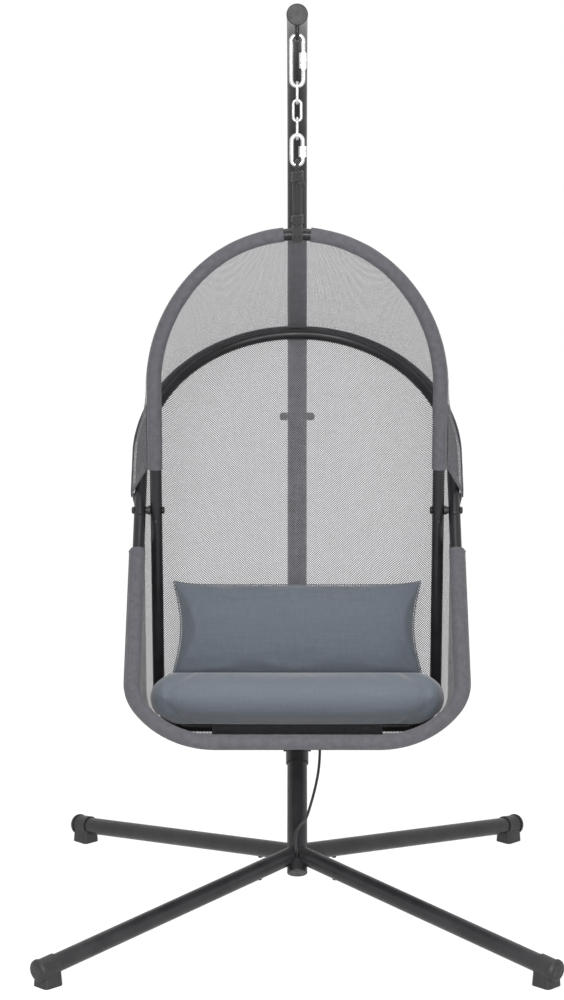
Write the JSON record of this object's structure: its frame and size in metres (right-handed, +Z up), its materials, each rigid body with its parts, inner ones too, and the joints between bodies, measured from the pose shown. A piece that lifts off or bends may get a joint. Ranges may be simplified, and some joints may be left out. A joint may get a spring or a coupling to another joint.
{
  "type": "hanging egg chair",
  "caption": "Folding hanging egg chair with a mesh bag on two crossed oval tube loops, seat cushion and pillow, hung by chain from a C-shaped pole on a four-legged base",
  "frame": {"origin": "on the floor under the middle of the four feet, which is the bottom centre of the bounding box without the tether cord", "axes": "+Z up, -Y is the open front of the chair, +X is the viewer's right seen from the front"},
  "size_m": [1.0724, 1.0724, 1.947],
  "materials": {
    "pole_paint": "satin",
    "loop_paint": "satin",
    "black_plastic": "matte",
    "plated_steel": "satin",
    "black_rope": "matte",
    "grey_mesh": "matte",
    "grey_binding": "matte",
    "cushion_cloth": "matte"
  },
  "bodies": {
    "stand": {"hub_post": "pole_paint", "hub_plug": "black_plastic", "pole_middle_section": "pole_paint", "pole_upper_section": "pole_paint", "boom_cap": "black_plastic", "pole_lower_bolt": "plated_steel", "pole_joint_bolt": "plated_steel", "pole_bolt_caps": "black_plastic", "boom_eye": "pole_paint", "tether_anchor": "plated_steel", "leg_screws": "plated_steel", "tether_cord": "black_rope", "leg_rear_right": "pole_paint", "foot_rear_right": "black_plastic", "leg_rear_left": "pole_paint", "foot_rear_left": "black_plastic", "leg_front_left": "pole_paint", "foot_front_left": "black_plastic", "leg_front_right": "pole_paint", "foot_front_right": "black_plastic"},
    "hanger_link": {"upper_quick_link": "plated_steel", "upper_link_nut": "plated_steel"},
    "chain": {"chain_link_1": "plated_steel", "chain_link_2": "plated_steel", "chain_link_3": "plated_steel"},
    "chair": {"lower_quick_link": "plated_steel", "lower_link_nut": "plated_steel", "hanging_rope": "black_rope", "hood_hoop": "loop_paint", "rear_seat_tube": "loop_paint", "inner_loop_buttons": "black_plastic", "pivot_bolts": "plated_steel", "pivot_spacers": "black_plastic", "pivot_cap_nuts": "plated_steel", "hood_sleeve": "grey_binding", "rear_sleeve": "grey_binding", "hood_panel": "grey_mesh", "back_panel": "grey_mesh", "seat_sling": "grey_mesh", "seat_cushion": "cushion_cloth", "head_pillow": "cushion_cloth", "tether_knot": "black_rope"},
    "seat_frame": {"back_arch": "loop_paint", "front_seat_tube": "loop_paint", "outer_loop_buttons": "black_plastic", "front_sleeve": "grey_binding"}
  },
  "joints": [
    {"name": "swing", "type": "hinge", "parent": "stand", "child": "hanger_link", "pos_m": [0, -0.026, 1.88356], "axis": [1, 0, 0], "range_deg": [-11, 1.5], "deforming": ["tether_cord"]},
    {"name": "sway", "type": "hinge", "parent": "hanger_link", "child": "chain", "pos_m": [0, -0.026, 1.78686], "axis": [0, 1, 0], "range_deg": [-4, 4]},
    {"name": "twist", "type": "hinge", "parent": "chain", "child": "chair", "pos_m": [0, -0.026, 1.67826], "axis": [0, 0, 1], "range_deg": [-10, 10]},
    {"name": "fold", "type": "hinge", "parent": "chair", "child": "seat_frame", "pos_m": [0, 0.038, 0.876], "axis": [1, 0, 0], "range_deg": [0, 42], "deforming": ["hood_panel", "back_panel", "seat_sling"]}
  ]
}
